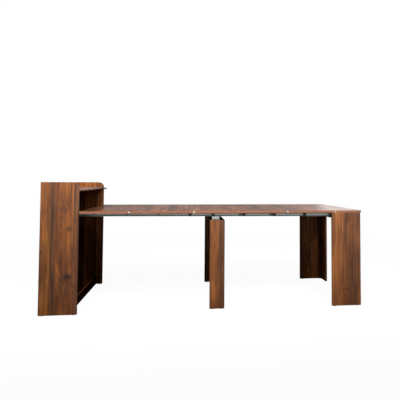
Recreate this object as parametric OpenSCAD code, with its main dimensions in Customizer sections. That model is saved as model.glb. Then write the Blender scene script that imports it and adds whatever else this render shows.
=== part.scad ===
// Console table that extends to a dining table.
// A tall narrow cabinet stands at one end and an end frame on panel legs at the other.
// Telescopic rails join them, a middle leg rides half way, and loose leaves lie on the rails.
// X runs from the cabinet to the end frame, Y from the near side to the far side, Z up.

/* [Table] */
// Width of the table across the rails
table_w = 900; // [760:10:1100]
// Height of the table surface above the floor
table_h = 760; // [700:5:800]
// Thickness of the leaves and of the end board
board_t = 18; // [15:1:25]
// Length of one leaf along the table
leaf_w = 390; // [330:5:420]
// Joint left between two boards of the table surface
leaf_gap = 0.5; // [0.3:0.1:1]
// Thickness of every upright panel
panel_t = 18; // [15:1:22]

/* [Cabinet] */
// Depth of the cabinet along the table
cab_d = 271; // [255:1:320]
// Height of the cabinet side panels
cab_h = 977; // [930:1:1040]
// Radius of the side panels' upper front corner
corner_r = 48; // [20:1:60]
// Distance from the cabinet front back to the recessed panel
recess_d = 63; // [40:1:80]
// Thickness of the storage lid
lid_t = 24; // [18:1:30]
// Drop from the top of the side panels to the top of the lid
lid_drop = 47; // [30:1:60]
// Distance that the lid stays behind the cabinet front
lid_setback = 2; // [1:1:8]
// Height of the plinth board
plinth_h = 75; // [50:1:100]
// Thickness of the plinth board
plinth_t = 8; // [6:1:16]
// Thickness of the back panel
back_t = 12; // [8:1:16]
// Distance that the back panel stands in from the cabinet's rear edge
back_inset = 6; // [2:1:12]
// Space left between the cabinet front and the first leaf
first_gap = 4.5; // [2:0.5:8]

/* [Rails] */
// Length of one rail section
rail_len = 420; // [380:5:440]
// Height of a rail section
rail_h = 31; // [28:1:36]
// Step along the extended table from one rail section to the next
rail_step = 247; // [230:1:280]
// Sideways step from one rail section to the next
rail_pitch = 12; // [11:0.5:14]
// Distance from the table edge to the outermost rail section
rail_side = 50; // [44:1:70]
// Running gap between neighbouring rail sections
rail_gap = 0.4; // [0.3:0.1:0.6]
// Width of a dovetail groove at its mouth
dove_mouth = 4.4; // [4:0.1:5]
// Width of a dovetail groove at its root
dove_root = 8; // [7:0.1:8.6]
// Depth of a dovetail groove
dove_depth = 4.2; // [3.6:0.1:4.6]
// Clearance between a dovetail tongue and its groove
dove_clear = 0.35; // [0.25:0.05:0.45]
// Length of the plastic cap on the cabinet end of a moving section
cap_len = 20; // [12:1:40]
// Width of the wooden bearer that carries the fixed section
bearer_t = 20; // [16:1:30]
// Height of that bearer
bearer_h = 46; // [34:1:60]

/* [Middle leg] */
// Distance from the cabinet front to the middle leg of the extended table
mid_leg_at = 980; // [900:5:1040]
// Width of the middle leg along the table
mid_leg_w = 116; // [90:1:180]
// Distance that the middle leg stands in from the table edge
mid_leg_inset = 30; // [24:1:40]
// Drop from the underside of the leaves to the top of the middle leg
mid_leg_drop = 57.5; // [50:0.5:80]
// Width of the rail bracket on the middle leg
bracket_w = 59; // [30:1:80]
// Distance from the middle leg's edge to the rail bracket
bracket_in = 19; // [5:1:25]
// Sheet thickness of the rail bracket
bracket_t = 2.5; // [1.5:0.5:4]

/* [End frame] */
// Width of the fixed end board along the table
end_board_w = 245; // [220:1:300]
// Overhang of the end board past the end legs
end_overhang = 7; // [3:1:20]
// Reach of the end leg's return board across the table
end_fin_w = 125; // [80:1:200]
// Height of the apron below the end board
apron_h = 95; // [60:1:140]

/* [Fittings] */
// Diameter of a floor glide
glide_d = 15; // [10:1:15]
// Height of a floor glide
glide_h = 3; // [2:0.5:6]
// Distance from a panel's edge to the centre of its floor glide
glide_in = 25; // [12:1:30]
// Diameter of the white edge plugs
plug_d = 11; // [6:0.5:13]
// Length of an edge plug
plug_len = 10; // [6:1:20]
// Diameter of the pegs under a leaf
peg_d = 10; // [8:1:12]
// Length of a peg below the leaf
peg_drop = 12; // [8:1:16]
// Distance from a leaf's edge to the centre of its pegs
peg_in = 90; // [80:1:110]
// Diameter of the lid's pivot pins
pin_d = 8; // [6:0.5:10]
// Diameter of the lid's finger pull
pull_d = 13; // [10:1:16]
// Length of the finger pull in front of the lid
pull_out = 32; // [20:1:40]
// Distance from the table's far edge to the finger pull
pull_side = 40; // [34:1:80]

/* [Hidden] */
// Fine enough for the round fittings
$fn = 48;
// Number of loose leaves
leaf_n = 5;
// Number of moving rail sections on each side
rail_n = 8;
// Number of the rail section that carries the middle leg
mid_k = rail_n / 2;
// Gap of a piece that rests on or slides over another
seat = 0.3;
// Gap round a piece that is fixed in a bore
bore_gap = 0.15;
// Gap left in front of the cabinet when the table is closed
closed_gap = 1;
// Gap between the middle leg and the plinth board when the table is closed
mid_gap = 2;
// Gap between the rail ends and the apron
rail_end_gap = 18;
// Air round the rails in the recessed panel's windows
window_gap = 4;
// Gap at each end of the lid
lid_gap = 0.5;
// Gap between the lid and the back panel
lid_rear_gap = 4;
// Gap between the back panel and the lid above it
back_gap = 1;
// Depth of the pivot pins in the side panels and in the lid
pin_in_panel = 12;
pin_in_lid = 20;
// Depth of the finger pull in the lid
pull_in = 12;
// Depth of a peg in the leaf
peg_in_leaf = 8;
// Height of the tapered tip of a peg
peg_tip = 3;
// Gap between a peg and the rail beside it
peg_gap = 0.8;
// Start of a tongue behind its cap, so that it never reaches the next cap
tongue_back = 2;
// Height of each dovetail above or below the middle of the section
dove_rise = 8;
// Hollow chamber in the middle of a rail section, its width and height
chamber_w = 3.6;
chamber_h = 7;
// Rounding of a rail cap's outer corners
cap_round = 4;
// Small overlap that keeps cuts clean
eps = 0.01;

// Places that several pieces share
leaf_pitch = leaf_w + leaf_gap;
leaves_x = cab_d + first_gap;
end_x = leaves_x + leaf_n * leaf_pitch;
total_len = end_x + end_board_w;
travel = leaf_n * leaf_pitch + first_gap - closed_gap;
leg_end_x = total_len - end_overhang;
apron_x = leg_end_x - panel_t;
rail_x = apron_x - travel - rail_end_gap - rail_len;
board_z = table_h - board_t;
rail_z = board_z - seat - rail_h;
rail_w = rail_pitch - rail_gap;
tongue_out = rail_gap + dove_depth - dove_clear;
recess_x = cab_d - recess_d;
mid_x = cab_d + mid_leg_at;
mid_travel = mid_x - (recess_x + plinth_t + mid_gap);
mid_top = board_z - mid_leg_drop;
lid_top = cab_h - lid_drop;
lid_z = lid_top - lid_t;
lid_x = back_inset + back_t + lid_rear_gap;
lid_front = cab_d - lid_setback;
pivot_x = lid_x + lid_t / 2;
pivot_z = lid_z + lid_t / 2;
inner_w = table_w - 2 * panel_t;

// Distances from a board's left edge to its edge plugs, one list for each leaf
plug_mid = 68;
plug_late = 27;
plug_end = 30;
leaf_plugs = [[leaf_w - plug_late], [], [plug_mid], [], [plug_late]];

function leaf_x(i) = leaves_x + (i - 1) * leaf_pitch;
// Sections up to the middle leg are stepped back from it, and the outer ones from the end frame
function section_travel(k) = k > mid_k
    ? travel - (rail_n - k) * rail_step
    : mid_travel - (mid_k - k) * rail_step;
function section_x(k) = rail_x + (k > 0 ? section_travel(k) : 0);
function section_y(k) = rail_side + (rail_n - k) * rail_pitch;
// Innermost section that reaches a place along the table
function inner_section(x) = [for (k = [0:rail_n]) if (section_x(k) + rail_len > x) k][0];
function dove_half(s) = dove_mouth / 2 + (dove_root - dove_mouth) / 2 * s / dove_depth;

// Colours of the materials
walnut = [0.45, 0.29, 0.20];
walnut_top = [0.58, 0.44, 0.38];
aluminium = [0.62, 0.65, 0.65];
black_plastic = [0.06, 0.06, 0.06];
grey_plastic = [0.42, 0.43, 0.43];
white_plastic = [0.90, 0.90, 0.88];
zinc = [0.80, 0.81, 0.82];
dark_steel = [0.18, 0.17, 0.16];
raw_wood = [0.20, 0.14, 0.11];

// Shared helpers

// Puts the origin on the floor in the middle of the extended table
module placed() {
    translate([-total_len / 2, -table_w / 2, 0]) children();
}

// Repeats a near piece on the far side
module far_side() {
    translate([0, table_w, 0]) mirror([0, 1, 0]) children();
}

module both_sides() {
    children();
    far_side() children();
}

// Runs an outline drawn in Y and Z along X
module along_x(length) {
    rotate([90, 0, 90]) linear_extrude(length) children();
}

// Gives an outline drawn in X and Z a thickness along Y
module along_y(length) {
    rotate([90, 0, 0]) translate([0, 0, -length]) linear_extrude(length) children();
}

// Round bar or bore along Y, starting at a point
module bar_y(d, length) {
    rotate([-90, 0, 0]) cylinder(d = d, h = length);
}

module glide(x, y) {
    translate([x, y, 0]) cylinder(d = glide_d, h = glide_h);
}

// Cabinet

module side_panel_outline() {
    height = cab_h - glide_h;
    square([cab_d, height - corner_r]);
    square([cab_d - corner_r, height]);
    translate([cab_d - corner_r, height - corner_r]) circle(corner_r);
}

module side_panel() {
    difference() {
        translate([0, 0, glide_h]) along_y(panel_t) side_panel_outline();
        translate([pivot_x, panel_t - pin_in_panel, pivot_z])
            bar_y(pin_d + 2 * bore_gap, pin_in_panel + eps);
    }
}

module side_panel_near() {
    color(walnut) placed() side_panel();
}

module side_panel_far() {
    color(walnut) placed() far_side() side_panel();
}

// Opening that the nested rails pass through
module rail_window() {
    wide = rail_n * rail_pitch + rail_w + 2 * window_gap;
    translate([recess_x - panel_t - eps, rail_side - window_gap, rail_z - window_gap])
        cube([panel_t + 2 * eps, wide, rail_h + 2 * window_gap]);
}

module recessed_panel() {
    color(walnut) placed() difference() {
        translate([recess_x - panel_t, panel_t, glide_h])
            cube([panel_t, inner_w, lid_z - seat - glide_h]);
        both_sides() rail_window();
    }
}

module plinth_board() {
    color(walnut) placed() translate([recess_x, panel_t, glide_h])
        cube([plinth_t, inner_w, plinth_h]);
}

module back_panel() {
    color(raw_wood) placed() translate([back_inset, panel_t, glide_h])
        cube([back_t, inner_w, lid_z - glide_h - back_gap]);
}

// Bearer between the back panel and the recessed panel, beside the fixed rail section
module rail_bearer() {
    rear = back_inset + back_t;
    translate([rear, section_y(0) + rail_w, board_z - bearer_h])
        cube([recess_x - panel_t - rear, bearer_t, bearer_h]);
}

module rail_bearer_near() {
    color(raw_wood) placed() rail_bearer();
}

module rail_bearer_far() {
    color(raw_wood) placed() far_side() rail_bearer();
}

module lid_pivot_pins() {
    length = pin_in_panel + lid_gap + pin_in_lid - 2 * seat;
    color(dark_steel) placed() both_sides()
        translate([pivot_x, panel_t - pin_in_panel + seat, pivot_z]) bar_y(pin_d, length);
}

module cabinet_glides() {
    color(black_plastic) placed() both_sides() {
        glide(glide_in, panel_t / 2);
        glide(cab_d - glide_in, panel_t / 2);
    }
}

// Storage lid between the side panels, with a round front edge
module storage_lid() {
    depth = lid_front - lid_x;
    width = inner_w - 2 * lid_gap;
    color(walnut) placed() difference() {
        translate([lid_x, panel_t + lid_gap, lid_z]) along_y(width) {
            square([depth - lid_t / 2, lid_t]);
            translate([depth - lid_t / 2, lid_t / 2]) circle(d = lid_t);
        }
        both_sides() translate([pivot_x, panel_t + lid_gap - eps, pivot_z])
            bar_y(pin_d + 2 * seat, pin_in_lid + eps);
        finger_pull(pull_d + 2 * bore_gap);
    }
}

module finger_pull(d) {
    translate([lid_front - pull_in, table_w - pull_side, pivot_z])
        rotate([0, 90, 0]) cylinder(d = d, h = pull_in + pull_out);
}

module lid_finger_pull() {
    color(dark_steel) placed() finger_pull(pull_d);
}

// Telescopic rails

// Outline across a section, its outer face at zero, with or without the grooves
module section_outline(grooved) {
    difference() {
        square([rail_w, rail_h]);
        if (grooved) for (side = [-1, 1]) translate([0, rail_h / 2 + side * dove_rise]) polygon([
            [-eps, -dove_half(0)],
            [dove_depth, -dove_half(dove_depth)],
            [dove_depth, dove_half(dove_depth)],
            [-eps, dove_half(0)]
        ]);
        translate([dove_depth + (rail_w - dove_depth - chamber_w) / 2, (rail_h - chamber_h) / 2])
            square([chamber_w, chamber_h]);
    }
}

// Outline of the two tongues that run in the next section's grooves
module tongue_outline() {
    slope = (dove_root - dove_mouth) / 2 / dove_depth;
    less = dove_clear * sqrt(1 + slope * slope);
    root_half = dove_half(-rail_gap) - less;
    tip_half = dove_half(tongue_out - rail_gap) - less;
    for (side = [-1, 1]) translate([rail_w, rail_h / 2 + side * dove_rise]) polygon([
        [0, -root_half],
        [tongue_out, -tip_half],
        [tongue_out, tip_half],
        [0, root_half]
    ]);
}

// One section, numbered from the cabinet outward, with its cap's length left free
module rail_section(k) {
    start = k == 0 ? 0 : cap_len;
    translate([section_x(k), section_y(k), rail_z]) {
        translate([start, 0, 0]) along_x(rail_len - start) section_outline(k < rail_n);
        if (k > 0) translate([start + tongue_back, 0, 0])
            along_x(rail_len - start - tongue_back) tongue_outline();
    }
}

module rail_near(k) {
    color(aluminium) placed() rail_section(k);
}

module rail_far(k) {
    color(aluminium) placed() far_side() rail_section(k);
}

// Side view of a cap, rounded at its outer end
module cap_profile() {
    for (z = [cap_round, rail_h - cap_round]) translate([cap_round, z]) circle(cap_round);
    translate([0, cap_round]) square([cap_len, rail_h - 2 * cap_round]);
    translate([cap_round, 0]) square([cap_len - cap_round, rail_h]);
}

// The sections before the middle leg have grey caps, and the others black ones
module rail_end_caps(k) {
    color(k < mid_k ? grey_plastic : black_plastic) placed() both_sides()
        translate([section_x(k), section_y(k) + rail_w, rail_z])
        rotate([90, 0, 0]) linear_extrude(rail_w) cap_profile();
}

// Middle leg, a portal that stands under the rails

module middle_leg() {
    translate([mid_x, mid_leg_inset, glide_h]) cube([mid_leg_w, panel_t, mid_top - glide_h]);
}

module middle_leg_near() {
    color(walnut) placed() middle_leg();
}

module middle_leg_far() {
    color(walnut) placed() far_side() middle_leg();
}

module middle_leg_top() {
    start = mid_leg_inset + panel_t;
    color(walnut) placed() translate([mid_x, start, mid_top - panel_t])
        cube([mid_leg_w, table_w - 2 * start, panel_t]);
}

// Channel bracket that ties the middle leg to its rail section
module middle_leg_bracket() {
    rise = rail_z - seat - mid_top;
    deep = rail_pitch + rail_w + 2 * bracket_t;
    translate([mid_x + bracket_in, section_y(mid_k) - rail_pitch, mid_top])
        along_x(bracket_w) difference() {
            square([deep, rise]);
            translate([bracket_t, bracket_t]) square([deep, rise - 2 * bracket_t]);
        }
}

module middle_leg_brackets() {
    color(zinc) placed() both_sides() middle_leg_bracket();
}

module middle_leg_glides() {
    color(black_plastic) placed() both_sides() {
        glide(mid_x + glide_in, mid_leg_inset + panel_t / 2);
        glide(mid_x + mid_leg_w - glide_in, mid_leg_inset + panel_t / 2);
    }
}

// End frame

module end_leg() {
    translate([end_x, 0, glide_h]) cube([leg_end_x - end_x, panel_t, board_z - glide_h]);
}

module end_leg_near() {
    color(walnut) placed() end_leg();
}

module end_leg_far() {
    color(walnut) placed() far_side() end_leg();
}

// Return board that makes each end leg an L seen from above
module end_return() {
    translate([apron_x, panel_t, glide_h]) cube([panel_t, end_fin_w, board_z - glide_h]);
}

module end_return_near() {
    color(walnut) placed() end_return();
}

module end_return_far() {
    color(walnut) placed() far_side() end_return();
}

module end_apron() {
    start = panel_t + end_fin_w;
    color(walnut) placed() translate([apron_x, start, board_z - apron_h])
        cube([panel_t, table_w - 2 * start, apron_h]);
}

module end_board() {
    color(walnut_top) placed() difference() {
        translate([end_x, 0, board_z]) cube([end_board_w, table_w, board_t]);
        plug(end_x + plug_end, true);
    }
}

module end_board_plug() {
    color(white_plastic) placed() plug(end_x + plug_end, false);
}

module end_frame_glides() {
    color(black_plastic) placed() both_sides() {
        glide(end_x + glide_in, panel_t / 2);
        glide(leg_end_x - glide_in, panel_t / 2);
        glide(leg_end_x - panel_t / 2, panel_t + end_fin_w - glide_in);
    }
}

// Leaves

// Edge plug, or the bore that it sits in
module plug(x, bore) {
    gap = bore ? bore_gap : 0;
    translate([x, bore ? -eps : 0, table_h - board_t / 2])
        bar_y(plug_d + 2 * gap, plug_len + gap + (bore ? eps : 0));
}

// Peg under a leaf just inside the tongues of the rails, or the bore that it sits in
module peg(x, bore) {
    gap = bore ? bore_gap : 0;
    beside = inner_section(x - peg_d / 2 - peg_gap);
    y = section_y(beside) + rail_w + tongue_out + peg_gap + peg_d / 2;
    translate([x, y, board_z]) {
        translate([0, 0, -eps]) cylinder(d = peg_d + 2 * gap, h = peg_in_leaf + gap + eps);
        if (!bore) translate([0, 0, peg_tip - peg_drop]) cylinder(d = peg_d, h = peg_drop - peg_tip);
        if (!bore) translate([0, 0, -peg_drop]) cylinder(d1 = peg_d - peg_tip, d2 = peg_d, h = peg_tip);
    }
}

module leaf_fitting_shapes(i, bore) {
    for (offset = leaf_plugs[i - 1]) plug(leaf_x(i) + offset, bore);
    both_sides() {
        peg(leaf_x(i) + peg_in, bore);
        peg(leaf_x(i) + leaf_w - peg_in, bore);
    }
}

module leaf(i) {
    color(walnut_top) placed() difference() {
        translate([leaf_x(i), 0, board_z]) cube([leaf_w, table_w, board_t]);
        leaf_fitting_shapes(i, true);
    }
}

module leaf_fittings(i) {
    color(white_plastic) placed() leaf_fitting_shapes(i, false);
}

side_panel_near();
side_panel_far();
recessed_panel();
plinth_board();
back_panel();
rail_bearer_near();
rail_bearer_far();
lid_pivot_pins();
cabinet_glides();
storage_lid();
lid_finger_pull();
for (k = [0:rail_n]) rail_near(k);
for (k = [0:rail_n]) rail_far(k);
for (k = [1:rail_n]) rail_end_caps(k);
middle_leg_near();
middle_leg_far();
middle_leg_top();
middle_leg_brackets();
middle_leg_glides();
end_leg_near();
end_leg_far();
end_return_near();
end_return_far();
end_apron();
end_board();
end_board_plug();
end_frame_glides();
for (i = [1:leaf_n]) leaf(i);
for (i = [1:leaf_n]) leaf_fittings(i);
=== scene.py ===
"""Finish, small fittings, light and camera for the extending dining table."""

import math
import random

import bpy
from mathutils import Matrix, Vector


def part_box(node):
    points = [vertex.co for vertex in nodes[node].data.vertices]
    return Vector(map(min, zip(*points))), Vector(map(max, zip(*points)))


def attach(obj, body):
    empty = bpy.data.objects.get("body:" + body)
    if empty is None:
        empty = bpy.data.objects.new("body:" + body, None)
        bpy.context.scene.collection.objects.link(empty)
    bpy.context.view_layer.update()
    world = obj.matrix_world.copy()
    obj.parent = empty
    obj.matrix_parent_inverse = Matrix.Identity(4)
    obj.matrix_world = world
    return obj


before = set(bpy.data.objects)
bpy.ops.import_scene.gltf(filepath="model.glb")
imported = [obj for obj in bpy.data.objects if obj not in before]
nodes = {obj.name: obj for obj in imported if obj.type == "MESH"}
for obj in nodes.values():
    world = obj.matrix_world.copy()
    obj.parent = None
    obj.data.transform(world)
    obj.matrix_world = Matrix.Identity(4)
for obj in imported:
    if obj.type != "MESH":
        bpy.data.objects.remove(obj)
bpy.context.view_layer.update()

X, Y, Z = range(3)
MM = 0.001

# Camera, at the photograph's viewpoint
CAMERA_PLACE = Vector((-0.1755, -3.4675, 0.9789))
CAMERA_TURN = math.radians(6.926)
CAMERA_RISE = math.radians(2.321)
CAMERA_ROLL = math.radians(0.269)
CAMERA_LENS = 35.01
CAMERA_SENSOR = 36.0
CAMERA_SHIFT = (-0.0831, -0.0828)

# Floor, and how the eye sees it: its glow, its own shading, and the distances over which they fade
FLOOR_SIZE = 60.0
FLOOR_GLOW = 0.94
FLOOR_SHADE = 0.12
FLOOR_FADE = (2.2, 5.5)

# Floor for the table: where it begins to throw light back in front of its painted shade under the table,
# and the sweep that glossy finishes mirror
BOUNCE_FADE = (0.35, 0.95)
SWEEP_FADE = (2.5, 6.5)
SWEEP_SIDE = (-3.8, 1.6)
SWEEP_SIDE_GLOW = 0.06

# Room light, which comes from the rear and the left
ROOM_TINT = (1.0, 0.99, 0.97, 1.0)
ROOM_AMBIENT = 0.03
ROOM_REAR = 0.80
REAR_FROM_LEFT = 0.5
REAR_FADE = (0.1, 0.7)

# Room that glossy finishes mirror: its front, its rear, and a bright card at the rear right with a haze
ROOM_IN_FRONT = 0.80
ROOM_BEHIND = 0.31
BEHIND_FADE = (-0.35, 0.35)
CARD_GLOW = 1.15
CARD_EDGE = 0.343
CARD_EDGE_FADE = (0.0, 0.02)
CARD_HAZE = 0.14
CARD_HAZE_EDGE = 0.15
CARD_HAZE_FADE = (0.0, 0.18)
CARD_REAR = (0.2, 0.4)
CARD_TOP = (0.40, 0.30)

# Softbox over the front
KEY_PLACE = (0.10, -1.90, 2.60)
KEY_TARGET = (0.10, 0.20, 0.90)
KEY_SIZE = (3.8, 1.1)
KEY_SPREAD = math.radians(90)
KEY_POWER = 48.0


def paint(red, green, blue):
    """A colour as a screen shows it, from 0 to 255, turned into amounts of light."""
    def light(value):
        share = value / 255
        return share / 12.92 if share <= 0.04045 else ((share + 0.055) / 1.055) ** 2.4
    return (light(red), light(green), light(blue), 1.0)


# Walnut decor, one tone for each kind of stave
GOLD = paint(187, 118, 56)
AMBER = paint(168, 100, 42)
HONEY = paint(163, 98, 42)
STRAW = paint(175, 108, 43)
BROWN = paint(142, 86, 40)
ROSE = paint(138, 86, 48)
DUSK = paint(123, 76, 38)
UMBER = paint(105, 63, 32)
# Tones of the recess boards, darkened as painted shade in the recess
RECESS_SHADE_BROWN = paint(104, 62, 32)
RECESS_SHADE_DARK = paint(56, 31, 15)
TOP_PALE = paint(172, 111, 74)
TOP_ROSE = paint(161, 102, 66)
TOP_MAUVE = paint(148, 92, 61)
TOP_DARK = paint(122, 76, 49)
# The lid's near stave is painted paler than the far one, as a painted highlight on the near end
LID_HIGHLIGHT_PALE = paint(188, 130, 96)
LID_ROSE = paint(176, 118, 84)
KNOT_BROWN = paint(40, 23, 14)
EDGE_TOP = paint(170, 117, 90)
EDGE_PANEL = paint(138, 88, 56)

# Other finishes
FLOOR_PALE = paint(232, 231, 229)
BOUNCE_IN_FRONT = paint(240, 237, 232)
# Floor under and behind the table, painted dark as the table's shade for the light it throws back
BOUNCE_IN_TABLE_SHADE = paint(12, 12, 12)
ALUMINIUM = paint(212, 222, 217)
ZINC = paint(240, 240, 236)
BLACK_PLASTIC = paint(38, 39, 40)
SILVER_PLASTIC = paint(150, 158, 156)
BROWN_PLASTIC = paint(74, 46, 32)
WHITE_PLASTIC = paint(250, 249, 245)
DARK_STEEL = paint(62, 60, 56)
HARDBOARD = paint(84, 58, 42)
# Dark tone of the rails, used for painted shade in their grooves and for a darker band before some caps
RAIL_DARK_TONE = paint(58, 60, 58)

# Middle of a noise's range
NOISE_MIDDLE = 0.5

# Part of a surface's noise over which its roughness turns, and how far it goes down and up
UNEVEN_LIMITS = (0.3, 0.7)
SMOOTHER = 0.06
ROUGHER = 0.08


class Steps:
    """A node tree written step by step. Each step gives back its output."""

    def __init__(self, tree):
        self.tree = tree

    def add(self, kind, inputs=None, output=0, **settings):
        node = self.tree.nodes.new(kind)
        for name, value in settings.items():
            setattr(node, name, value)
        for name, value in (inputs or {}).items():
            self.feed(node.inputs[name], value)
        return node.outputs[output]

    def feed(self, socket, value):
        if isinstance(value, bpy.types.NodeSocket):
            self.tree.links.new(value, socket)
        else:
            socket.default_value = value

    def sum(self, operation, first, second=0.0, third=0.0, clamp=False):
        inputs = {0: first, 1: second, 2: third}
        return self.add("ShaderNodeMath", inputs, operation=operation, use_clamp=clamp)

    def point(self, x, y, z):
        return self.add("ShaderNodeCombineXYZ", {"X": x, "Y": y, "Z": z})

    def parts(self, vector):
        outputs = self.add("ShaderNodeSeparateXYZ", {"Vector": vector}).node.outputs
        return outputs["X"], outputs["Y"], outputs["Z"]

    def length(self, vector):
        return self.add("ShaderNodeVectorMath", {0: vector}, output="Value", operation="LENGTH")

    def stretch(self, vector, scale):
        return self.add("ShaderNodeVectorMath", {0: vector, 1: scale}, operation="MULTIPLY")

    def noise(self, vector, detail=2.0, roughness=0.5):
        inputs = {"Vector": vector, "Scale": 1.0, "Detail": detail, "Roughness": roughness}
        return self.add("ShaderNodeTexNoise", inputs)

    def pattern(self, place, scale, detail, roughness):
        """Noise with its own turns per metre along each axis."""
        return self.noise(self.stretch(place, scale), detail, roughness)

    def fade(self, value, low, high, start=0.0, end=1.0):
        inputs = {"Value": value, "From Min": low, "From Max": high, "To Min": start, "To Max": end}
        return self.add("ShaderNodeMapRange", inputs, interpolation_type="SMOOTHSTEP")

    def blend(self, factor, first, second, kind="MIX"):
        node = self.add("ShaderNodeMix", data_type="RGBA", blend_type=kind).node
        self.feed(node.inputs["Factor"], factor)
        self.feed(node.inputs["A"], first)
        self.feed(node.inputs["B"], second)
        return node.outputs["Result"]

    def tint(self, factor, color, shares):
        """The colour, times the given shares of red, green and blue where the factor is 1."""
        return self.blend(factor, color, (*shares, 1.0), "MULTIPLY")

    def stain(self, color, layer, limits, amounts, shares):
        """The colour tinted by a layer, by the two amounts at the layer's two limits."""
        return self.tint(self.fade(layer, *limits, *amounts), color, shares)

    def uneven(self, layer, roughness):
        """A roughness that follows a layer a little down and up."""
        return self.fade(layer, *UNEVEN_LIMITS, roughness - SMOOTHER, roughness + ROUGHER)

    def relief(self, height, strength, distance):
        inputs = {"Strength": strength, "Distance": distance, "Height": height}
        return self.add("ShaderNodeBump", inputs)


def new_material(name):
    """An empty material, its steps and its shader."""
    material = bpy.data.materials.new(name)
    material.use_nodes = True
    steps = Steps(material.node_tree)
    shader = material.node_tree.nodes["Principled BSDF"]
    return material, steps, shader


def object_place(steps):
    return steps.add("ShaderNodeTexCoord", output="Object")


# Walnut decor

# Each layer of the grain is noise, with its turns per metre across and along the grain,
# its detail, its roughness, and an offset that keeps it apart from the other layers
GRAIN_LAYERS = {
    "swell": (12.0, 2.2, 1.0, 0.4, 3.0),
    "figure": (8.0, 1.6, 1.0, 0.5, 11.0),
    "cloud": (9.0, 4.5, 2.0, 0.5, 13.0),
    "ribbons": (42.0, 2.2, 2.0, 0.5, 17.0),
    "streaks": (130.0, 2.4, 3.0, 0.62, 5.0),
    "fibres": (760.0, 9.0, 2.0, 0.6, 7.0),
    "pores": (1500.0, 34.0, 1.0, 0.5, 9.0),
}

# How a layer stains the tone: its limits, the amounts at them, and the shares of red, green and blue
BROAD_STAINS = (
    ("cloud", (0.36, 0.64), (0.0, 0.75), (0.66, 0.61, 0.58)),
    ("ribbons", (0.46, 0.64), (0.0, 0.88), (0.54, 0.48, 0.43)),
    ("ribbons", (0.34, 0.48), (0.75, 0.0), (1.28, 1.22, 1.13)),
)
FINE_STAINS = (
    ("streaks", (0.45, 0.62), (0.0, 0.85), (0.52, 0.46, 0.41)),
    ("streaks", (0.34, 0.48), (0.70, 0.0), (1.34, 1.28, 1.20)),
    ("fibres", (0.40, 0.62), (0.0, 0.45), (0.72, 0.68, 0.66)),
)

# How far a stave's seed moves it through the noise
SEED_STRIDE = 31.0

# Sideways wander of the grain: turns per metre across and along, its width, and its bend round a knot
SWAY_ACROSS = 5.0
SWAY_ALONG = 2.6
SWAY = 0.026
KNOT_BEND = 0.014

# Year rings: how close they lie on the swell, how a knot shifts them, and where the figure shows them
RING_TURNS = 58.0
KNOT_SHIFT = 0.22
RING_LIMITS = (0.0, 1.0)
FIGURE_LIMITS = (0.44, 0.60)

# Rings, pores, fibres and knots: where pores show, the strength and shares of the stains, the height of
# each in the surface, and how much duller a pore is
RING_STAIN = 0.50
RING_SHARES = (0.50, 0.42, 0.38)
RING_HEIGHT = -0.25
PORE_LIMITS = (0.34, 0.40)
PORE_STAIN = 0.55
PORE_SHARES = (0.34, 0.28, 0.26)
PORE_HEIGHT = -0.9
PORE_DULLNESS = 0.14
FIBRE_HEIGHT = 0.7
KNOT_STAIN = 0.85

# Roughness of the grain at two limits of its streaks
GRAIN_LIMITS = (0.3, 0.7)
GRAIN_ROUGHNESS = (0.42, 0.54)


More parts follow.
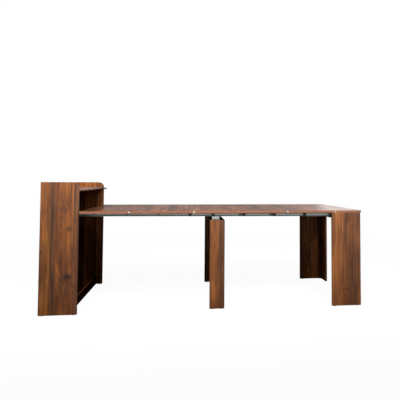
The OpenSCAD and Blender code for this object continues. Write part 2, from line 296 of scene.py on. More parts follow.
def make_walnut_group():
    """The grain of one stave: pores, fibres, streaks, figure and knots over its tone."""
    group = bpy.data.node_groups.new("walnut_grain", "ShaderNodeTree")
    for name, kind in (("Place", "Vector"), ("Tone", "Color"), ("Seed", "Float"), ("Knot", "Float")):
        group.interface.new_socket(name, in_out="INPUT", socket_type="NodeSocket" + kind)
    for name, kind in (("Color", "Color"), ("Height", "Float"), ("Roughness", "Float")):
        group.interface.new_socket(name, in_out="OUTPUT", socket_type="NodeSocket" + kind)
    steps = Steps(group)
    inside = group.nodes.new("NodeGroupInput").outputs
    across, along, depth = steps.parts(inside["Place"])
    seed = steps.sum("MULTIPLY", inside["Seed"], SEED_STRIDE)
    knot = inside["Knot"]

    # The grain wanders sideways and bends round knots
    slow = steps.point(steps.sum("MULTIPLY_ADD", across, SWAY_ACROSS, seed),
                       steps.sum("MULTIPLY", along, SWAY_ALONG),
                       steps.sum("MULTIPLY", depth, SWAY_ACROSS))
    sway = steps.sum("SUBTRACT", steps.noise(slow), NOISE_MIDDLE)
    wander = steps.sum("MULTIPLY_ADD", sway, SWAY, across)
    wander = steps.sum("MULTIPLY_ADD", knot, KNOT_BEND, wander)

    layers = {}
    for name, (side, length, detail, roughness, offset) in GRAIN_LAYERS.items():
        place = steps.point(steps.sum("MULTIPLY_ADD", wander, side, seed),
                            steps.sum("MULTIPLY_ADD", along, length, offset),
                            steps.sum("MULTIPLY", depth, side))
        layers[name] = steps.noise(place, detail, roughness)

    swell = steps.sum("MULTIPLY_ADD", knot, KNOT_SHIFT, layers["swell"])
    waves = steps.sum("SINE", steps.sum("MULTIPLY", swell, RING_TURNS))
    presence = steps.fade(layers["figure"], *FIGURE_LIMITS)
    rings = steps.sum("MULTIPLY", steps.fade(waves, *RING_LIMITS), presence)
    pores = steps.fade(layers["pores"], *PORE_LIMITS, 1.0, 0.0)

    color = inside["Tone"]
    for name, *stain in BROAD_STAINS:
        color = steps.stain(color, layers[name], *stain)
    color = steps.tint(steps.sum("MULTIPLY", rings, RING_STAIN), color, RING_SHARES)
    for name, *stain in FINE_STAINS:
        color = steps.stain(color, layers[name], *stain)
    color = steps.tint(steps.sum("MULTIPLY", pores, PORE_STAIN), color, PORE_SHARES)
    color = steps.blend(steps.sum("MULTIPLY", knot, KNOT_STAIN, clamp=True), color, KNOT_BROWN)

    height = steps.sum("MULTIPLY", layers["fibres"], FIBRE_HEIGHT)
    height = steps.sum("MULTIPLY_ADD", pores, PORE_HEIGHT, height)
    height = steps.sum("MULTIPLY_ADD", rings, RING_HEIGHT, height)
    roughness = steps.fade(layers["streaks"], *GRAIN_LIMITS, *GRAIN_ROUGHNESS)
    roughness = steps.sum("MULTIPLY_ADD", pores, PORE_DULLNESS, roughness)
    outside = group.nodes.new("NodeGroupOutput").inputs
    for name, value in (("Color", color), ("Height", height), ("Roughness", roughness)):
        steps.feed(outside[name], value)
    return group


WALNUT_GROUP = make_walnut_group()

# Step between the seeds of neighbouring staves, and the seed of the first
STAVE_SEED_STEP = 0.37
STAVE_SEED_START = 0.11


def stave_ramp(steps, across, start, staves):
    """Steps from stave to stave. The colour is the stave's tone, and the alpha its seed."""
    total = sum(width for width, tone in staves)
    share = steps.sum("DIVIDE", steps.sum("SUBTRACT", across, start), total)
    node = steps.add("ShaderNodeValToRGB", {"Fac": share}).node
    ramp = node.color_ramp
    ramp.interpolation = "CONSTANT"
    place = 0.0
    for number, (width, tone) in enumerate(staves):
        if number < 2:
            stop = ramp.elements[number]
            stop.position = place / total
        else:
            stop = ramp.elements.new(place / total)
        stop.color = (*tone[:3], (number * STAVE_SEED_STEP + STAVE_SEED_START) % 1.0)
        place += width
    return node.outputs["Color"], node.outputs["Alpha"]


# Ragged outline of a knot: its turns, detail and roughness, how deep it goes, and where the knot is full
RAGGED_OUTLINE = ((1.3, 1.3, 1.3), 2.0, 0.6)
RAGGED_DEPTH = 0.9
KNOT_CORE = 0.1


def knot_field(steps, across, along, knots):
    """How near a point is to a knot, from 0 to the knot's strength.

    A knot has a place, half a width and half a height, and a strength.
    """
    field = 0.0
    for side, height, wide, tall, strength in knots:
        away = steps.point(steps.sum("DIVIDE", steps.sum("SUBTRACT", across, side), wide),
                           steps.sum("DIVIDE", steps.sum("SUBTRACT", along, height), tall), 0.0)
        ragged = steps.sum("SUBTRACT", steps.pattern(away, *RAGGED_OUTLINE), NOISE_MIDDLE)
        far = steps.sum("MULTIPLY_ADD", ragged, RAGGED_DEPTH, steps.length(away))
        field = steps.sum("MAXIMUM", field, steps.fade(far, KNOT_CORE, 1.0, strength, 0.0))
    return field


# Specular level of the boards. The far ones and those in the recess are duller.
PANEL_SHEEN = 0.75
FAR_SHEEN = 0.30
RECESS_SHEEN = 0.0
LID_SHEEN = 1.0
TOP_SHEEN = 0.3

# How much smoother than the panels the lid and the tops are
LID_POLISH = 0.22
TOP_POLISH = 0.24

# How much of a wrapped board's depth its pattern follows
WRAPPED_DEPTH = 0.1

# Relief of the grain, its strength and depth
GRAIN_RELIEF = (0.35, 0.12 * MM)

# Banding strip: turns per metre of its lines through the board and along it, their detail and
# roughness, their stain, and the turn of the surface where the strip ends and the decor begins
BAND_THROUGH = 900.0
BAND_ALONG = 5.0
BAND_LINES = (3.0, 0.6)
BAND_STAIN = ((0.38, 0.62), (0.0, 0.7), (0.66, 0.60, 0.56))
BAND_TURN = (0.45, 0.55)


def banding(steps, across, along, depth, edging):
    """The plain strip that covers a board's edges, with lines along it."""
    place = steps.point(steps.sum("MULTIPLY", depth, BAND_THROUGH),
                        steps.sum("MULTIPLY", along, BAND_ALONG),
                        steps.sum("MULTIPLY", across, BAND_ALONG))
    return steps.stain(edging, steps.noise(place, *BAND_LINES), *BAND_STAIN)


def walnut_board(name, lie, staves, edging, seed, knots=(), wrapped=False,
                 sheen=PANEL_SHEEN, polish=0.0):
    """A decor board. Lie is its axes across the staves, along the grain and through its thickness."""
    material, steps, shader = new_material("walnut_" + name)
    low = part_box(name)[0]
    coordinates = steps.add("ShaderNodeTexCoord").node.outputs
    place = steps.parts(coordinates["Object"])
    across, along, depth = (place[axis] for axis in lie)
    if wrapped:
        # The sheet goes round the edges, and its pattern with it
        depth = steps.sum("MULTIPLY", depth, WRAPPED_DEPTH)
    tone, own_seed = stave_ramp(steps, across, low[lie[0]], staves)
    placed_knots = [(low[lie[0]] + side, low[lie[1]] + height, *rest) for side, height, *rest in knots]
    grain = steps.add("ShaderNodeGroup", node_tree=WALNUT_GROUP).node
    steps.feed(grain.inputs["Place"], steps.point(across, along, depth))
    steps.feed(grain.inputs["Tone"], tone)
    steps.feed(grain.inputs["Seed"], steps.sum("ADD", own_seed, seed))
    steps.feed(grain.inputs["Knot"], knot_field(steps, across, along, placed_knots))
    color = grain.outputs["Color"]
    if not wrapped:
        facing = steps.sum("ABSOLUTE", steps.parts(coordinates["Normal"])[lie[2]])
        band = banding(steps, across, along, depth, edging)
        color = steps.blend(steps.fade(facing, *BAND_TURN), band, color)
    shader.inputs["Specular IOR Level"].default_value = sheen
    steps.feed(shader.inputs["Base Color"], color)
    steps.feed(shader.inputs["Roughness"], steps.sum("SUBTRACT", grain.outputs["Roughness"], polish))
    steps.feed(shader.inputs["Normal"], steps.relief(grain.outputs["Height"], *GRAIN_RELIEF))
    return material


# Metal, plastic and hardboard. Lines, clouds, sand and flecks are noise, each with its turns per metre
# along X, Y and Z, its detail and its roughness. A stain is given as for the walnut.

# Grooves of the rails: their width at the mouth, and their height from the rail's middle
GROOVE_MOUTH = 4.4 * MM
GROOVE_RISE = 8 * MM

# Edge of the painted shade in the grooves, and the darker band on a rail before a cap: its length, edge
# and amount
GROOVE_SHADE_EDGE = 0.4 * MM
DARK_BAND_LENGTH = 46 * MM
DARK_BAND_EDGE = 1.0 * MM
DARK_BAND_AMOUNT = 0.75

# Painted shade along the foot of the rails, where the lower edge turns away from the light
RAIL_SHADED_FOOT = 3.6 * MM
SHADED_FOOT_EDGE = 1.0 * MM
SHADED_FOOT_SHARES = (0.46, 0.45, 0.43)

# Drawn metal: its lines and clouds, their stains, and its relief
METAL_LINES = ((6.0, 1400.0, 1400.0), 2.0, 0.6)
METAL_CLOUDS = ((22.0, 60.0, 60.0), 3.0, 0.6)
METAL_LINE_STAIN = ((0.35, 0.65), (0.0, 0.5), (0.84, 0.85, 0.85))
METAL_CLOUD_STAIN = ((0.40, 0.66), (0.0, 0.6), (0.82, 0.85, 0.84))
METAL_RELIEF = (0.25, 0.04 * MM)


def brushed_metal(name, color, roughness, metallic, shaded_grooves=(), shaded_below=None, dark_bands=()):
    """Metal drawn along X, with fine lines and faint clouds, painted shade at the given groove heights and
    along its foot.

    A dark band is a darker stretch of the metal, from where it starts to where a cap is.
    """
    material, steps, shader = new_material(name)
    place = object_place(steps)
    lines = steps.pattern(place, *METAL_LINES)
    clouds = steps.pattern(place, *METAL_CLOUDS)
    tint = steps.stain(color, lines, *METAL_LINE_STAIN)
    tint = steps.stain(tint, clouds, *METAL_CLOUD_STAIN)
    # Painted shade in the grooves, where little light reaches the metal
    for groove in shaded_grooves:
        away = steps.sum("ABSOLUTE", steps.sum("SUBTRACT", steps.parts(place)[Z], groove))
        band = steps.fade(away, GROOVE_MOUTH / 2, GROOVE_MOUTH / 2 + GROOVE_SHADE_EDGE, 1.0, 0.0)
        tint = steps.blend(band, tint, RAIL_DARK_TONE)
    # Painted shade: the metal darker along its foot, where the lower edge turns away from the light
    if shaded_below is not None:
        height = steps.parts(place)[Z]
        foot = steps.fade(height, shaded_below - SHADED_FOOT_EDGE, shaded_below + SHADED_FOOT_EDGE, 1.0, 0.0)
        tint = steps.tint(foot, tint, SHADED_FOOT_SHARES)
    # A darker band on the metal before a cap, rising to its amount and ending at the cap
    for start, end in dark_bands:
        along = steps.parts(place)[X]
        dark_band = steps.fade(along, start, (start + end) / 2, 0.0, DARK_BAND_AMOUNT)
        dark_band = steps.sum("MULTIPLY", dark_band, steps.fade(along, end, end + DARK_BAND_EDGE, 1.0, 0.0))
        tint = steps.blend(dark_band, tint, RAIL_DARK_TONE)
    steps.feed(shader.inputs["Base Color"], tint)
    steps.feed(shader.inputs["Roughness"], steps.uneven(lines, roughness))
    shader.inputs["Metallic"].default_value = metallic
    steps.feed(shader.inputs["Normal"], steps.relief(lines, *METAL_RELIEF))
    return material


# Zinc plate: its crystals per metre, their stain and roughness, and the clouds over them
ZINC_CRYSTALS = 160.0
ZINC_CRYSTAL_STAIN = ((0.0, 1.0), (0.0, 0.4), (0.80, 0.82, 0.84))
ZINC_ROUGHNESS = (0.14, 0.30)
ZINC_CLOUDS = ((40.0, 40.0, 40.0), 3.0, 0.6)
ZINC_CLOUD_STAIN = ((0.42, 0.68), (0.0, 0.6), (0.78, 0.78, 0.77))


def zinc_plate(name, color, metallic):
    """Zinc-plated sheet with its crystal pattern."""
    material, steps, shader = new_material(name)
    place = object_place(steps)
    inputs = {"Vector": place, "Scale": ZINC_CRYSTALS}
    crystals = steps.add("ShaderNodeTexVoronoi", inputs, output="Color")
    clouds = steps.pattern(place, *ZINC_CLOUDS)
    grey = steps.parts(crystals)[0]
    tint = steps.stain(color, grey, *ZINC_CRYSTAL_STAIN)
    tint = steps.stain(tint, clouds, *ZINC_CLOUD_STAIN)
    steps.feed(shader.inputs["Base Color"], tint)
    steps.feed(shader.inputs["Roughness"], steps.fade(grey, 0.0, 1.0, *ZINC_ROUGHNESS))
    shader.inputs["Metallic"].default_value = metallic
    return material


# Moulded plastic: its sand and clouds, their stain, and its relief
PLASTIC_SAND = ((1600.0, 1600.0, 1600.0), 2.0, 0.6)
PLASTIC_CLOUDS = ((70.0, 70.0, 70.0), 2.0, 0.5)
PLASTIC_STAIN = ((0.38, 0.66), (0.0, 0.6), (0.86, 0.86, 0.84))
PLASTIC_RELIEF = (0.3, 0.05 * MM)


def moulded_plastic(name, color, roughness, metallic=0.0):
    """Moulded plastic with a fine spark-eroded surface."""
    material, steps, shader = new_material(name)
    place = object_place(steps)
    sand = steps.pattern(place, *PLASTIC_SAND)
    clouds = steps.pattern(place, *PLASTIC_CLOUDS)
    steps.feed(shader.inputs["Base Color"], steps.stain(color, clouds, *PLASTIC_STAIN))
    steps.feed(shader.inputs["Roughness"], steps.uneven(sand, roughness))
    shader.inputs["Metallic"].default_value = metallic
    steps.feed(shader.inputs["Normal"], steps.relief(sand, *PLASTIC_RELIEF))
    return material


# Hardboard: its flecks and clouds, their stains, and its relief
BOARD_FLECKS = ((420.0, 420.0, 160.0), 4.0, 0.7)
BOARD_CLOUDS = ((9.0, 9.0, 9.0), 3.0, 0.6)
BOARD_FLECK_STAIN = ((0.40, 0.62), (0.0, 1.0), (0.62, 0.60, 0.58))
BOARD_CLOUD_STAIN = ((0.35, 0.65), (0.0, 0.5), (0.76, 0.74, 0.72))
BOARD_RELIEF = (0.3, 0.15 * MM)


def hardboard(name, color, roughness):
    """Pressed board with flecks of fibre."""
    material, steps, shader = new_material(name)
    place = object_place(steps)
    flecks = steps.pattern(place, *BOARD_FLECKS)
    clouds = steps.pattern(place, *BOARD_CLOUDS)
    tint = steps.stain(color, flecks, *BOARD_FLECK_STAIN)
    tint = steps.stain(tint, clouds, *BOARD_CLOUD_STAIN)
    steps.feed(shader.inputs["Base Color"], tint)
    shader.inputs["Roughness"].default_value = roughness
    steps.feed(shader.inputs["Normal"], steps.relief(flecks, *BOARD_RELIEF))
    return material


# Dressing the nodes

# Width of a broken edge by kind of piece, its segments, the turn from which an edge counts as sharp,
# and the gap up to which its points are joined first
BROKEN_EDGE = 0.6 * MM
RAIL_EDGE = 0.25 * MM
CAP_EDGE = 0.5 * MM
BRACKET_EDGE = 0.4 * MM
HARDBOARD_EDGE = 0.5 * MM
EDGE_SEGMENTS = 2
SHARP_TURN = math.radians(32)
WELD_GAP = 0.02 * MM


def dress(names, material):
    for name in names:
        slots = nodes[name].material_slots
        slots[0].link = "OBJECT"
        slots[0].material = material


def soften(names, width):
    """Breaks the sharp edges of nodes, so that they catch a line of light."""
    for name in names:
        weld = nodes[name].modifiers.new("weld", "WELD")
        weld.merge_threshold = WELD_GAP
        bevel = nodes[name].modifiers.new("edge", "BEVEL")
        bevel.width = width
        bevel.segments = EDGE_SEGMENTS
        bevel.limit_method = "ANGLE"
        bevel.angle_limit = SHARP_TURN


# Axes of a board: across its staves, along its grain and through its thickness
FACING_SIDE = (X, Z, Y)
FACING_END = (Y, Z, X)
GRAIN_ACROSS = (Z, Y, X)
LEVEL = (X, Y, Z)
FRONT_TO_BACK = (Y, X, Z)

# Staves of the boards with a chosen pattern, from their left or near edge on: width and tone
SIDE_PANEL_STAVES = ((0.075, STRAW), (0.035, DUSK), (0.128, AMBER), (0.033, ROSE))
FAR_PANEL_STAVES = ((0.09, STRAW), (0.112, GOLD), (0.069, BROWN))
MIDDLE_LEG_STAVES = ((0.071, HONEY), (0.045, DUSK))
FAR_MIDDLE_LEG_STAVES = ((0.05, BROWN), (0.066, HONEY))
END_LEG_STAVES = ((0.092, GOLD), (0.082, BROWN), (0.064, ROSE))
FAR_END_LEG_STAVES = ((0.03, BROWN), (0.15, GOLD), (0.058, DUSK))
RETURN_STAVES = ((0.07, BROWN), (0.055, HONEY))
FAR_RETURN_STAVES = ((0.06, HONEY), (0.065, BROWN))
FIRST_LEAF_STAVES = ((0.105, TOP_DARK), (0.088, TOP_ROSE), (0.105, TOP_MAUVE), (0.092, TOP_ROSE))

# Width of the first of the lid's two staves, the near one, whose paler tone is a painted highlight
LID_HIGHLIGHT_STAVE = 0.52

# Knots: place across and up the board, half width, half height, and strength
SIDE_PANEL_KNOTS = (
    (0.200, 0.275, 0.046, 0.036, 1.20), (0.208, 0.627, 0.046, 0.028, 0.75),
    (0.012, 0.455, 0.022, 0.026, 0.75), (0.105, 0.09, 0.026, 0.050, 0.50),
    (0.130, 0.85, 0.020, 0.040, 0.35), (0.180, 0.76, 0.024, 0.050, 0.30),
    (0.185, 0.15, 0.030, 0.060, 0.30), (0.050, 0.20, 0.016, 0.060, 0.30),
)
MIDDLE_LEG_KNOTS = ((0.092, 0.46, 0.014, 0.030, 0.45),)
END_LEG_KNOTS = ((0.117, 0.13, 0.024, 0.020, 0.60), (0.120, 0.68, 0.026, 0.050, 0.35))
FAR_END_LEG_KNOTS = ((0.082, 0.22, 0.026, 0.018, 0.90),)

# Upright boards: how each lies, its staves and its knots
UPRIGHT_BOARDS = (
    ("side_panel_near", FACING_SIDE, SIDE_PANEL_STAVES, SIDE_PANEL_KNOTS),
    ("side_panel_far", FACING_SIDE, FAR_PANEL_STAVES, ()),
    ("middle_leg_near", FACING_SIDE, MIDDLE_LEG_STAVES, MIDDLE_LEG_KNOTS),
    ("middle_leg_far", FACING_SIDE, FAR_MIDDLE_LEG_STAVES, ()),
    ("end_leg_near", FACING_SIDE, END_LEG_STAVES, END_LEG_KNOTS),
    ("end_leg_far", FACING_SIDE, FAR_END_LEG_STAVES, FAR_END_LEG_KNOTS),
    ("end_return_near", FACING_END, RETURN_STAVES, ()),
    ("end_return_far", FACING_END, FAR_RETURN_STAVES, ()),
)

# Boards in the recess, with staves of equal width in tones darkened as painted shade, and boards with
# mixed staves
RECESS_BOARDS = (
    ("recessed_panel", FACING_END, (RECESS_SHADE_DARK, RECESS_SHADE_BROWN)),
    ("plinth_board", GRAIN_ACROSS, (RECESS_SHADE_DARK,)),
)
MIXED_BOARDS = (("end_apron", GRAIN_ACROSS), ("middle_leg_top", LEVEL))

# Numbers of the leaves, from the cabinet on
LEAVES = range(1, 6)

# Tones of mixed staves, and the widths between which they are drawn
TOP_TONES = (TOP_PALE, TOP_ROSE, TOP_MAUVE, TOP_ROSE, TOP_DARK)
PANEL_TONES = (AMBER, HONEY, BROWN, ROSE, DUSK, UMBER)
STAVE_WIDTHS = (0.055, 0.14)

# Seed of the first board of each group, and the step from board to board
UPRIGHT_SEED = 0
RECESS_SEED = 20
MIXED_SEED = 24
LID_SEED = 31
TOP_SEED = 40
SEED_STEP = 1.7


def random_staves(seed, length, tones):
    """Staves of mixed width and tone that fill a board."""
    chance = random.Random(seed)
    staves = []
    left = length
    last = None
    while left > 0.0:
        width = min(chance.uniform(*STAVE_WIDTHS), left)
        if left - width < STAVE_WIDTHS[0] / 2:
            width = left
        tone = chance.choice([t for t in tones if t != last])
        staves.append((width, tone))
        last = tone
        left -= width
    return staves


def dress_upright_boards():
    for number, (name, lie, staves, knots) in enumerate(UPRIGHT_BOARDS):
        sheen = FAR_SHEEN if name.endswith("_far") else PANEL_SHEEN
        dress([name], walnut_board(name, lie, staves, EDGE_PANEL, seed=UPRIGHT_SEED + number * SEED_STEP,
                                   knots=knots, sheen=sheen))


def dress_recess():
    for number, (name, lie, tones) in enumerate(RECESS_BOARDS):
        low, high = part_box(name)
        wide = (high - low)[lie[0]] / len(tones)
        staves = [(wide, tone) for tone in tones]
        dress([name], walnut_board(name, lie, staves, EDGE_PANEL,
                                   seed=RECESS_SEED + number * SEED_STEP, sheen=RECESS_SHEEN))


def dress_mixed_boards():
    for number, (name, lie) in enumerate(MIXED_BOARDS):
        low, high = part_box(name)
        staves = random_staves(name, (high - low)[lie[0]], PANEL_TONES)
        dress([name], walnut_board(name, lie, staves, EDGE_PANEL,
                                   seed=MIXED_SEED + number * SEED_STEP))


def dress_lid():
    low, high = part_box("storage_lid")
    staves = ((LID_HIGHLIGHT_STAVE, LID_HIGHLIGHT_PALE), (high.y - low.y - LID_HIGHLIGHT_STAVE, LID_ROSE))
    dress(["storage_lid"], walnut_board("storage_lid", FRONT_TO_BACK, staves, EDGE_TOP, seed=LID_SEED,
                                        wrapped=True, sheen=LID_SHEEN, polish=LID_POLISH))


def dress_tops(tops):
    for number, name in enumerate(tops):
        low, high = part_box(name)
        staves = FIRST_LEAF_STAVES if number == 0 else random_staves(name, (high - low)[X], TOP_TONES)
        dress([name], walnut_board(name, LEVEL, staves, EDGE_TOP, seed=TOP_SEED + number * SEED_STEP,
                                   sheen=TOP_SHEEN, polish=TOP_POLISH))


def dress_walnut():
    """Every decor board gets its own staves or its own seed, so that no two repeat."""
    tops = [f"leaf_{number}" for number in LEAVES] + ["end_board"]
    dress_upright_boards()
    dress_recess()
    dress_mixed_boards()
    dress_lid()
    dress_tops(tops)
    panels = [board[0] for board in UPRIGHT_BOARDS + RECESS_BOARDS + MIXED_BOARDS]
    soften(panels + ["storage_lid"] + tops, BROKEN_EDGE)


# Sections of a nest of rails, from the fixed one outward: all of them, those with grey and with black
# caps, and those with a darker band on the rail before their caps
SECTIONS = range(9)
GREY_CAPPED = range(1, 4)
BLACK_CAPPED = range(4, 9)
DARK_BANDED = (6, 7)


def rail_finish():
    """Anodised aluminium with painted shade in its grooves and along its foot, and a darker band before
    some caps.
    """
    low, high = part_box("rail_0_near")
    middle = (low.z + high.z) / 2
    grooves = (middle - GROOVE_RISE, middle + GROOVE_RISE)
    caps_at = [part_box(f"rail_{number}_end_caps")[0].x for number in DARK_BANDED]
    dark_bands = [(place - DARK_BAND_LENGTH, place) for place in caps_at]
    return brushed_metal("anodised_aluminium", ALUMINIUM, roughness=0.36, metallic=0.85,
                         shaded_grooves=grooves, shaded_below=low.z + RAIL_SHADED_FOOT, dark_bands=dark_bands)


def dress_fittings():
    rails = [f"rail_{number}_{side}" for number in SECTIONS for side in ("near", "far")]
    grey_caps = [f"rail_{number}_end_caps" for number in GREY_CAPPED]
    black_caps = [f"rail_{number}_end_caps" for number in BLACK_CAPPED]
    glides = [name for name in nodes if name.endswith("_glides")]
    whites = [name for name in nodes if name.endswith("_fittings")] + ["end_board_plug"]
    boards = ["back_panel", "rail_bearer_near", "rail_bearer_far"]
    steels = ["lid_finger_pull", "lid_pivot_pins"]
    dress(rails, rail_finish())
    dress(black_caps, moulded_plastic("black_cap_plastic", BLACK_PLASTIC, roughness=0.42))
    dress(grey_caps, moulded_plastic("silver_cap_plastic", SILVER_PLASTIC, roughness=0.40, metallic=0.8))
    dress(glides, moulded_plastic("glide_plastic", BLACK_PLASTIC, roughness=0.55))
    dress(whites, moulded_plastic("white_plastic", WHITE_PLASTIC, roughness=0.42))
    dress(["middle_leg_brackets"], zinc_plate("zinc_plate", ZINC, metallic=0.9))
    dress(steels, brushed_metal("dark_steel", DARK_STEEL, roughness=0.42, metallic=0.4))
    dress(boards, hardboard("hardboard", HARDBOARD, roughness=0.68))
    soften(rails, RAIL_EDGE)
    soften(black_caps + grey_caps, CAP_EDGE)
    soften(["middle_leg_brackets"], BRACKET_EDGE)
    soften(boards, HARDBOARD_EDGE)


# Small fittings, each modelled once with its foot on the origin and its face up, then copied to its places

# Screw head and its socket. Dome and floor are shares of the head's height.
SCREW_SIDES = 24
SCREW_RADIUS = 3.6 * MM
SCREW_HEIGHT = 1.8 * MM
SCREW_DOME = 0.55
DOME_SEGMENTS = 3
SOCKET_SIDES = 6
SOCKET_RADIUS = 1.5 * MM
SOCKET_FLOOR = 0.35

# Cover cap: its rounded lip, the rim inside it, and the depth of its dished face
COVER_SIDES = 40
COVER_RADIUS = 8.5 * MM
COVER_HEIGHT = 1.4 * MM
COVER_LIP = 0.35 * MM
LIP_SEGMENTS = 2
COVER_RIM = 1.3 * MM
COVER_DISH = 0.5 * MM

# Sheet of the rail bracket, and the places of its screws as shares of its length
BRACKET_SHEET = 2.5 * MM
BRACKET_SCREWS_AT = (0.25, 0.75)

# Distance of a cam lock from its board's ends and long edges
CAM_FROM_END = 34 * MM
CAM_FROM_EDGE = 26 * MM

# Turn below which a fitting's faces are shaded as one, and the limits for finding its top face
SMOOTH_TURN = math.radians(35)
FACING_UP = 0.9
SAME_HEIGHT = 0.01 * MM


def start_round(name, sides, radius, height):
    """A round blank that stands on the origin."""
    bpy.ops.object.select_all(action="DESELECT")
    bpy.ops.mesh.primitive_cylinder_add(vertices=sides, radius=radius, depth=height,
                                        location=(0.0, 0.0, height / 2))
    bpy.ops.object.transform_apply(location=True, rotation=True, scale=True)
    blank = bpy.context.object
    blank.name = name
    return blank


def select_face(piece, height):
    """Selects the upward face at a height, and leaves the piece in edit mode."""
    bpy.ops.object.mode_set(mode="EDIT")
    bpy.ops.mesh.select_mode(type="FACE")
    bpy.ops.mesh.select_all(action="DESELECT")
    bpy.ops.object.mode_set(mode="OBJECT")
    for face in piece.data.polygons:
        face.select = face.normal.z > FACING_UP and abs(face.center.z - height) < SAME_HEIGHT
    bpy.ops.object.mode_set(mode="EDIT")


def model_screw_head():
    """A domed screw head with a six-sided socket."""
    head = start_round("screw_head", SCREW_SIDES, SCREW_RADIUS, SCREW_HEIGHT)
    select_face(head, SCREW_HEIGHT)
    bpy.ops.mesh.bevel(offset=SCREW_HEIGHT * SCREW_DOME, segments=DOME_SEGMENTS)
    bpy.ops.object.mode_set(mode="OBJECT")
    cutter = start_round("screw_socket", SOCKET_SIDES, SOCKET_RADIUS, SCREW_HEIGHT)
    cutter.data.transform(Matrix.Translation((0.0, 0.0, SCREW_HEIGHT * SOCKET_FLOOR)))
    cut = head.modifiers.new("socket", "BOOLEAN")
    cut.object = cutter
    cut.operation = "DIFFERENCE"
    bpy.context.view_layer.objects.active = head
    bpy.ops.object.modifier_apply(modifier="socket")
    bpy.data.objects.remove(cutter)
    return head


def model_cover_cap():
    """A press-in cover cap with a rounded lip, a rim and a dished face."""
    cap = start_round("cover_cap", COVER_SIDES, COVER_RADIUS, COVER_HEIGHT)
    select_face(cap, COVER_HEIGHT)
    bpy.ops.mesh.bevel(offset=COVER_LIP, segments=LIP_SEGMENTS)
    bpy.ops.object.mode_set(mode="OBJECT")
    select_face(cap, COVER_HEIGHT)
    bpy.ops.mesh.inset(thickness=COVER_RIM)
    bpy.ops.mesh.extrude_region_move(TRANSFORM_OT_translate={"value": (0.0, 0.0, -COVER_DISH)})
    bpy.ops.object.mode_set(mode="OBJECT")
    return cap


def seat(place, direction):
    """The turn and place that put a fitting's foot at a point, with its face towards a direction."""
    turn = Vector(direction).to_track_quat("Z", "Y").to_matrix().to_4x4()
    return Matrix.Translation(place) @ turn


def fit(name, pattern, seats, body, material):
    """Copies of a fitting at its seats, joined as one piece that rides on a body."""
    copies = []
    for number, place in enumerate(seats):
        copy = bpy.data.objects.new(f"{name}_{number}", pattern.data.copy())
        bpy.context.scene.collection.objects.link(copy)
        copy.data.transform(place)
        copies.append(copy)
    bpy.ops.object.select_all(action="DESELECT")
    for copy in copies:
        copy.select_set(True)
    piece = copies[0]
    bpy.context.view_layer.objects.active = piece
    bpy.ops.object.join()
    bpy.ops.object.shade_smooth_by_angle(angle=SMOOTH_TURN)
    piece.name = name
    piece.data.materials.clear()
    piece.data.materials.append(material)
    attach(piece, body)


def fit_rail_screws(screw, steel):
    """One screw in the outer end of every rail cap."""
    stages = {4: "middle_leg_stage", 8: "end_frame"}
    for number in range(1, 9):
        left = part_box(f"rail_{number}_end_caps")[0].x
        seats = []
        for side in ("near", "far"):
            low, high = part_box(f"rail_{number}_{side}")
            middle = (low + high) / 2
            seats.append(seat((left, middle.y, middle.z), (-1.0, 0.0, 0.0)))
        body = stages.get(number, f"rail_stage_{number}")
        fit(f"rail_{number}_cap_screws", screw, seats, body, steel)


def fit_bracket_screws(screw, steel):
    """Two screws through each bracket's foot into the middle leg's top board."""
    low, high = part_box("middle_leg_brackets")
    foot = low.z + BRACKET_SHEET
    seats = []
    for side in ("near", "far"):
        rail_low, rail_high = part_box(f"rail_4_{side}")
        for share in BRACKET_SCREWS_AT:
            place = (low.x + (high.x - low.x) * share, (rail_low.y + rail_high.y) / 2, foot)
            seats.append(seat(place, (0.0, 0.0, 1.0)))
    fit("bracket_screws", screw, seats, "middle_leg_stage", steel)


def fit_cover_caps(cap, plastic):
    """Caps over the cam locks under the middle leg's top board and inside the apron."""
    low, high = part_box("middle_leg_top")
    seats = [seat((x, y, low.z), (0.0, 0.0, -1.0))
             for x in (low.x + CAM_FROM_EDGE, high.x - CAM_FROM_EDGE)
             for y in (low.y + CAM_FROM_END, high.y - CAM_FROM_END)]
    fit("middle_leg_cover_caps", cap, seats, "middle_leg_stage", plastic)
    low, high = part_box("end_apron")
    seats = [seat((low.x, y, z), (-1.0, 0.0, 0.0))
             for y in (low.y + CAM_FROM_END, high.y - CAM_FROM_END)
             for z in (low.z + CAM_FROM_EDGE, high.z - CAM_FROM_EDGE)]
    fit("apron_cover_caps", cap, seats, "end_frame", plastic)


def make_fittings():
    screw = model_screw_head()
    cap = model_cover_cap()
    fit_rail_screws(screw, brushed_metal("blackened_screw", DARK_STEEL, roughness=0.38, metallic=0.7))
    fit_bracket_screws(screw, brushed_metal("zinc_screw", ZINC, roughness=0.34, metallic=0.8))
    fit_cover_caps(cap, moulded_plastic("brown_cover_plastic", BROWN_PLASTIC, roughness=0.50))
    bpy.data.objects.remove(screw)
    bpy.data.objects.remove(cap)


# Studio

BLACK = (0.0, 0.0, 0.0, 1.0)
WHITE = (1.0, 1.0, 1.0, 1.0)


def floor_for_eye(steps, place, diffuse):
    """A floor that glows towards white and keeps the object's shadow."""
    far = steps.length(place)
    glow = steps.add("ShaderNodeEmission", {"Strength": steps.fade(far, *FLOOR_FADE, FLOOR_GLOW, 1.0)})
    dark = steps.add("ShaderNodeBsdfTransparent", {"Color": BLACK})
    shade = steps.fade(far, *FLOOR_FADE, FLOOR_SHADE, 0.0)
    shaded = steps.add("ShaderNodeMixShader", {"Fac": shade, 1: dark, 2: diffuse})
    return steps.add("ShaderNodeAddShader", {0: glow, 1: shaded})


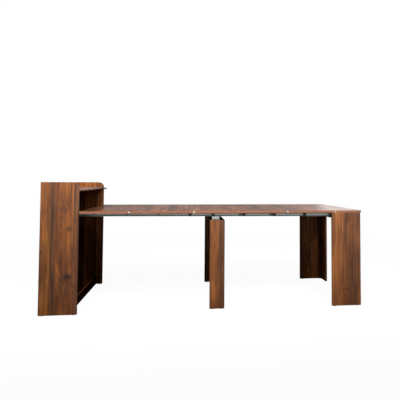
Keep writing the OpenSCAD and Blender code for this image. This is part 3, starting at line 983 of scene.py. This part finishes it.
def floor_for_table(steps, place, toward, mirrored, diffuse):
    """A floor that glossy finishes see rise to a pale sweep in front of the table."""
    sweep = steps.sum("MULTIPLY", steps.fade(toward, *SWEEP_FADE, 0.0, ROOM_IN_FRONT), mirrored)
    sideways = steps.fade(steps.parts(place)[X], *SWEEP_SIDE, SWEEP_SIDE_GLOW, 1.0)
    pale = steps.add("ShaderNodeEmission", {"Strength": steps.sum("MULTIPLY", sweep, sideways)})
    return steps.add("ShaderNodeAddShader", {0: diffuse, 1: pale})


def floor_finish():
    """A pale floor, painted dark under the table as the table's shade, so that little light comes back
    from there.
    """
    material, steps, shader = new_material("studio_floor")
    steps.tree.nodes.remove(shader)
    paths = steps.add("ShaderNodeLightPath").node.outputs
    place = object_place(steps)
    toward = steps.sum("MULTIPLY", steps.parts(place)[Y], -1.0)
    outside_table_shade = steps.sum("MULTIPLY", steps.fade(toward, *BOUNCE_FADE), paths["Is Diffuse Ray"])
    bounce = steps.blend(outside_table_shade, BOUNCE_IN_TABLE_SHADE, BOUNCE_IN_FRONT)
    paper = steps.blend(paths["Is Camera Ray"], bounce, FLOOR_PALE)
    diffuse = steps.add("ShaderNodeBsdfDiffuse", {"Color": paper})
    seen = floor_for_eye(steps, place, diffuse)
    unseen = floor_for_table(steps, place, toward, paths["Is Glossy Ray"], diffuse)
    result = steps.add("ShaderNodeMixShader", {"Fac": paths["Is Camera Ray"], 1: unseen, 2: seen})
    steps.feed(steps.tree.nodes["Material Output"].inputs["Surface"], result)
    return material


def make_floor():
    bpy.ops.mesh.primitive_plane_add(size=FLOOR_SIZE)
    floor = bpy.context.object
    floor.name = "studio_floor"
    floor.data.materials.append(floor_finish())


def mirrored_room(steps, x, y, z):
    """Strength of the room that glossy finishes mirror: front, rear, and the card with its haze."""
    room = steps.fade(y, *BEHIND_FADE, ROOM_IN_FRONT, ROOM_BEHIND)
    haze = steps.sum("MULTIPLY_ADD", y, -CARD_HAZE_EDGE, x)
    haze = steps.fade(haze, *CARD_HAZE_FADE, 0.0, CARD_HAZE)
    card = steps.sum("MULTIPLY_ADD", y, -CARD_EDGE, x)
    card = steps.fade(card, *CARD_EDGE_FADE, 0.0, 1.0 - CARD_HAZE)
    card = steps.sum("MULTIPLY", steps.sum("ADD", haze, card), steps.fade(y, *CARD_REAR))
    card = steps.sum("MULTIPLY", card, steps.fade(z, *CARD_TOP))
    return steps.sum("MULTIPLY_ADD", card, CARD_GLOW, room)


def make_world():
    """White for the eye, a room with a bright card for reflections, and a rear light for the rest."""
    world = bpy.data.worlds.new("studio")
    bpy.context.scene.world = world
    world.use_nodes = True
    steps = Steps(world.node_tree)
    room = world.node_tree.nodes["Background"]
    room.inputs["Color"].default_value = ROOM_TINT
    paths = steps.add("ShaderNodeLightPath").node.outputs
    clear = steps.sum("MAXIMUM", paths["Is Glossy Ray"], paths["Is Transmission Ray"])
    x, y, z = steps.parts(steps.add("ShaderNodeTexCoord", output="Generated"))
    rear = steps.sum("MULTIPLY_ADD", x, -REAR_FROM_LEFT, y)
    steps.feed(room.inputs["Strength"], steps.fade(rear, *REAR_FADE, ROOM_AMBIENT, ROOM_REAR))
    strength = mirrored_room(steps, x, y, z)
    backdrop = steps.add("ShaderNodeBackground", {"Color": WHITE, "Strength": strength})
    white = steps.add("ShaderNodeBackground", {"Color": WHITE, "Strength": 1.0})
    first = steps.add("ShaderNodeMixShader", {"Fac": clear, 1: room.outputs[0], 2: backdrop})
    last = steps.add("ShaderNodeMixShader", {"Fac": paths["Is Camera Ray"], 1: first, 2: white})
    steps.feed(world.node_tree.nodes["World Output"].inputs["Surface"], last)


def make_softbox():
    lamp = bpy.data.lights.new("front_softbox", "AREA")
    lamp.shape = "RECTANGLE"
    lamp.size, lamp.size_y = KEY_SIZE
    lamp.spread = KEY_SPREAD
    lamp.energy = KEY_POWER
    holder = bpy.data.objects.new("front_softbox", lamp)
    bpy.context.scene.collection.objects.link(holder)
    holder.location = KEY_PLACE
    aim = Vector(KEY_TARGET) - Vector(KEY_PLACE)
    holder.rotation_euler = aim.to_track_quat("-Z", "Y").to_euler()


def make_camera():
    lens = bpy.data.cameras.new("photograph")
    lens.sensor_width = CAMERA_SENSOR
    lens.lens = CAMERA_LENS
    lens.shift_x, lens.shift_y = CAMERA_SHIFT
    camera = bpy.data.objects.new("photograph", lens)
    bpy.context.scene.collection.objects.link(camera)
    turn = Matrix.Rotation(-CAMERA_TURN, 4, "Z") @ Matrix.Rotation(math.pi / 2 + CAMERA_RISE, 4, "X")
    camera.matrix_world = Matrix.Translation(CAMERA_PLACE) @ turn @ Matrix.Rotation(CAMERA_ROLL, 4, "Z")
    bpy.context.scene.camera = camera


make_camera()
make_world()
make_softbox()
make_floor()
dress_walnut()
dress_fittings()
make_fittings()
bpy.context.scene.view_settings.view_transform = "Standard"
